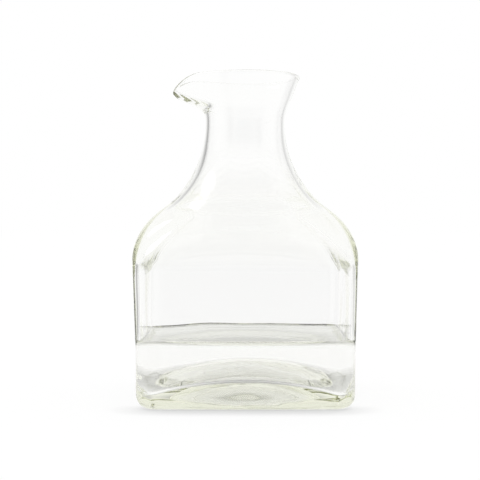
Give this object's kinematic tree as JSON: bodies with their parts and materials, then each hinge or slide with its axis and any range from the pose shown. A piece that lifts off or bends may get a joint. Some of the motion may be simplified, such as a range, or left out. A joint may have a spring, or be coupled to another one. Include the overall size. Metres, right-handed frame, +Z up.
{
  "type": "wine carafe",
  "caption": "Clear square-bodied glass carafe with a round neck, a flared mouth and a pulled pouring lip, part filled with pale white wine.",
  "frame": {"origin": "centre of the foot, on the surface the carafe stands on", "axes": "+Z up along the neck, -X towards the pouring lip, X and Y square to the flat sides"},
  "size_m": [0.1154, 0.1154, 0.1727],
  "materials": {
    "glass": "clear, fire-polished, slightly uneven",
    "wine": "clear pale liquid"
  },
  "bodies": {
    "root": {"carafe_glass": "glass", "wine": "wine"}
  },
  "joints": []
}
